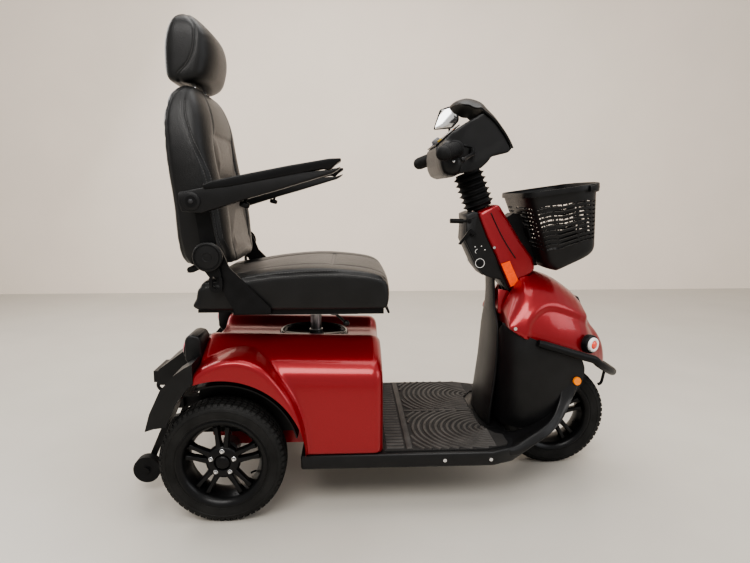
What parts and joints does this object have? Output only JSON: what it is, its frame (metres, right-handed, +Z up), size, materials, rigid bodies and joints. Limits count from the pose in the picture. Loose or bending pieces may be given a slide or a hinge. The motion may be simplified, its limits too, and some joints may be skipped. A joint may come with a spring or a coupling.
{
  "type": "mobility scooter",
  "caption": "Three-wheeled mobility scooter with swivelling captain seat, tilting tiller, flared rear cover, bumper bar and front basket.",
  "frame": {"origin": "centre of the footprint box on the ground, midway between the anti-tip rollers and the bumper tip", "axes": "+X forward, +Y to the rider's left, +Z up"},
  "size_m": [1.4579, 0.6608, 1.343],
  "materials": {
    "paint_red": "metallic gloss",
    "black_plastic": "fine texture",
    "frame_paint": "satin powder coat",
    "mat_rubber": "matt, ribbed",
    "tyre_rubber": "matt",
    "seat_leather": "soft grain",
    "post_steel": "brushed",
    "cast_alloy": "as cast",
    "screw_steel": "bright",
    "battery_case": "smooth",
    "lamp_red": "clear lens",
    "lamp_white": "clear lens",
    "lamp_orange": "prismatic lens",
    "grip_rubber": "soft matt",
    "knob_grey": "smooth",
    "button_yellow": "smooth",
    "button_blue": "smooth",
    "mirror_glass": "mirror",
    "rim_paint": "satin black"
  },
  "bodies": {
    "chassis": {"main_frame": "frame_paint", "floor_pan": "black_plastic", "floor_mat": "mat_rubber", "rear_cover": "paint_red", "rear_guards": "black_plastic", "lamp_housings": "black_plastic", "rear_lamps": "lamp_red", "rear_carrier": "black_plastic", "anti_tip_arms": "frame_paint", "transaxle": "cast_alloy", "batteries": "battery_case", "nose_cowl": "paint_red", "lamp_bezels": "black_plastic", "lamp_lenses": "lamp_white", "front_shells": "black_plastic", "side_indicators": "lamp_orange", "leg_shield": "black_plastic", "column_cover": "paint_red", "column_panel": "black_plastic", "bumper_bar": "frame_paint", "fasteners": "screw_steel", "basket_bracket": "frame_paint", "bellows": "grip_rubber"},
    "steering_fork": {"fork": "frame_paint"},
    "front_wheel": {"front_tyre": "tyre_rubber", "front_rim": "rim_paint"},
    "rear_wheel_right": {"rear_tyre_right": "tyre_rubber", "rear_rim_right": "rim_paint"},
    "rear_wheel_left": {"rear_tyre_left": "tyre_rubber", "rear_rim_left": "rim_paint"},
    "anti_tip_roller_right": {"anti_tip_wheel_right": "grip_rubber"},
    "anti_tip_roller_left": {"anti_tip_wheel_left": "grip_rubber"},
    "tiller_bracket": {"tiller_yoke": "frame_paint"},
    "tiller_head": {"head_shell": "black_plastic", "head_hood": "black_plastic", "dash_panel": "black_plastic", "handlebar": "frame_paint", "grips": "grip_rubber"},
    "drive_lever": {"throttle_lever": "black_plastic"},
    "hand_brake": {"brake_lever": "black_plastic"},
    "speed_dial": {"speed_knob": "knob_grey"},
    "horn_key": {"horn_button": "button_yellow"},
    "lamp_key": {"lamp_button": "button_blue"},
    "mirror": {"mirror_housing": "black_plastic", "mirror_glass": "mirror_glass"},
    "tilt_handle": {"tilt_lever": "black_plastic"},
    "hook": {"bag_hook": "black_plastic"},
    "seat_swivel": {"seat_post": "post_steel"},
    "swivel_handle": {"swivel_lever": "frame_paint"},
    "seat": {"seat_pan": "frame_paint", "seat_cushion": "seat_leather"},
    "slide_bar": {"bail_lever": "frame_paint"},
    "backrest": {"backrest_frame": "frame_paint", "backrest_cushion": "seat_leather"},
    "recline_handle": {"recline_lever": "black_plastic"},
    "arm_right": {"armrest_right": "black_plastic"},
    "arm_left": {"armrest_left": "black_plastic"},
    "headrest": {"headrest_cushion": "seat_leather", "headrest_posts": "screw_steel"},
    "carrier_basket": {"basket": "black_plastic"}
  },
  "joints": [
    {"name": "fork_steer", "type": "hinge", "parent": "chassis", "child": "steering_fork", "pos_m": [0.54, 0, 0.165], "axis": [-0.3535, 0, 0.9354], "range_deg": [-40, 40]},
    {"name": "front_wheel_spin", "type": "hinge", "parent": "steering_fork", "child": "front_wheel", "pos_m": [0.54, 0, 0.165], "axis": [0, 1, 0], "continuous": true},
    {"name": "rear_wheel_right_spin", "type": "hinge", "parent": "chassis", "child": "rear_wheel_right", "pos_m": [-0.437, -0.29, 0.165], "axis": [0, 1, 0], "continuous": true},
    {"name": "rear_wheel_left_spin", "type": "hinge", "parent": "chassis", "child": "rear_wheel_left", "pos_m": [-0.437, 0.29, 0.165], "axis": [0, 1, 0], "continuous": true},
    {"name": "anti_tip_right_spin", "type": "hinge", "parent": "chassis", "child": "anti_tip_roller_right", "pos_m": [-0.69, -0.152, 0.072], "axis": [0, 1, 0], "continuous": true},
    {"name": "anti_tip_left_spin", "type": "hinge", "parent": "chassis", "child": "anti_tip_roller_left", "pos_m": [-0.69, 0.152, 0.072], "axis": [0, 1, 0], "continuous": true},
    {"name": "tiller_tilt", "type": "hinge", "parent": "chassis", "child": "tiller_bracket", "pos_m": [0.2802, 0, 0.85255], "axis": [0, 1, 0], "range_deg": [-15, 20], "deforming": ["bellows"]},
    {"name": "head_steer", "type": "hinge", "parent": "tiller_bracket", "child": "tiller_head", "pos_m": [0.2802, 0, 0.85255], "axis": [-0.3535, 0, 0.9354], "range_deg": [-40, 40]},
    {"name": "drive_lever_pull", "type": "hinge", "parent": "tiller_head", "child": "drive_lever", "pos_m": [0.243, -0.108, 0.97], "axis": [0, 0, -1], "range_deg": [0, 6], "stiffness_Nm_per_rad": 2, "springref_deg": -5.73},
    {"name": "hand_brake_pull", "type": "hinge", "parent": "tiller_head", "child": "hand_brake", "pos_m": [0.243, 0.108, 0.97], "axis": [0, 0, 1], "range_deg": [0, 6], "stiffness_Nm_per_rad": 2, "springref_deg": -5.73},
    {"name": "speed_dial_turn", "type": "hinge", "parent": "tiller_head", "child": "speed_dial", "pos_m": [0.16063, 0, 1.0087], "axis": [-0.6494, 0, 0.7604], "range_deg": [-135, 135]},
    {"name": "horn_press", "type": "slide", "parent": "tiller_head", "child": "horn_key", "axis": [0.6494, 0, -0.7604], "range_m": [0, 0.0012], "stiffness_N_per_m": 400, "springref_m": -0.002},
    {"name": "lamp_press", "type": "slide", "parent": "tiller_head", "child": "lamp_key", "axis": [0.6494, 0, -0.7604], "range_m": [0, 0.0012], "stiffness_N_per_m": 400, "springref_m": -0.002},
    {"name": "mirror_turn", "type": "hinge", "parent": "tiller_head", "child": "mirror", "pos_m": [0.246, 0.2786, 1.112], "axis": [0, 0, 1], "range_deg": [-20, 20]},
    {"name": "tilt_release", "type": "hinge", "parent": "chassis", "child": "tilt_handle", "pos_m": [0.252, -0.055, 0.778], "axis": [0, 1, 0], "range_deg": [0, 20], "stiffness_Nm_per_rad": 0.6, "springref_deg": -17.19},
    {"name": "hook_fold", "type": "hinge", "parent": "chassis", "child": "hook", "pos_m": [0.262, -0.06, 0.741], "axis": [0, 1, 0], "range_deg": [0, 60]},
    {"name": "seat_swivel_turn", "type": "hinge", "parent": "chassis", "child": "seat_swivel", "pos_m": [-0.207, 0, 0.43], "axis": [0, 0, 1], "range_deg": [-90, 90]},
    {"name": "swivel_release", "type": "hinge", "parent": "seat_swivel", "child": "swivel_handle", "pos_m": [-0.15, -0.06, 0.507], "axis": [0, 0, 1], "range_deg": [0, 12], "stiffness_Nm_per_rad": 1, "springref_deg": -11.46},
    {"name": "seat_slide", "type": "slide", "parent": "seat_swivel", "child": "seat", "axis": [1, 0, 0], "range_m": [-0.04, 0.06]},
    {"name": "slide_bar_lift", "type": "hinge", "parent": "seat", "child": "slide_bar", "pos_m": [-0.07, 0, 0.5305], "axis": [0, -1, 0], "range_deg": [0, 6], "stiffness_Nm_per_rad": 3, "springref_deg": -17.19},
    {"name": "backrest_recline", "type": "hinge", "parent": "seat", "child": "backrest", "pos_m": [-0.465, 0, 0.698], "axis": [0, 1, 0], "range_deg": [-15, 55]},
    {"name": "recline_release", "type": "hinge", "parent": "seat", "child": "recline_handle", "pos_m": [-0.465, 0, 0.698], "axis": [0, 1, 0], "range_deg": [0, 15], "stiffness_Nm_per_rad": 2, "springref_deg": -17.19},
    {"name": "arm_right_lift", "type": "hinge", "parent": "backrest", "child": "arm_right", "pos_m": [-0.488, -0.275, 0.84], "axis": [0, -1, 0], "range_deg": [0, 100]},
    {"name": "arm_left_lift", "type": "hinge", "parent": "backrest", "child": "arm_left", "pos_m": [-0.488, 0.275, 0.84], "axis": [0, -1, 0], "range_deg": [0, 100]},
    {"name": "headrest_height", "type": "slide", "parent": "backrest", "child": "headrest", "axis": [0, 0, 1], "range_m": [0, 0.06]},
    {"name": "basket_lift", "type": "slide", "parent": "chassis", "child": "carrier_basket", "axis": [0.5, 0, 0.866], "range_m": [0, 0.15]}
  ],
  "couplings": [
    {"joint": "head_steer", "follows": "fork_steer", "ratio": 1}
  ]
}
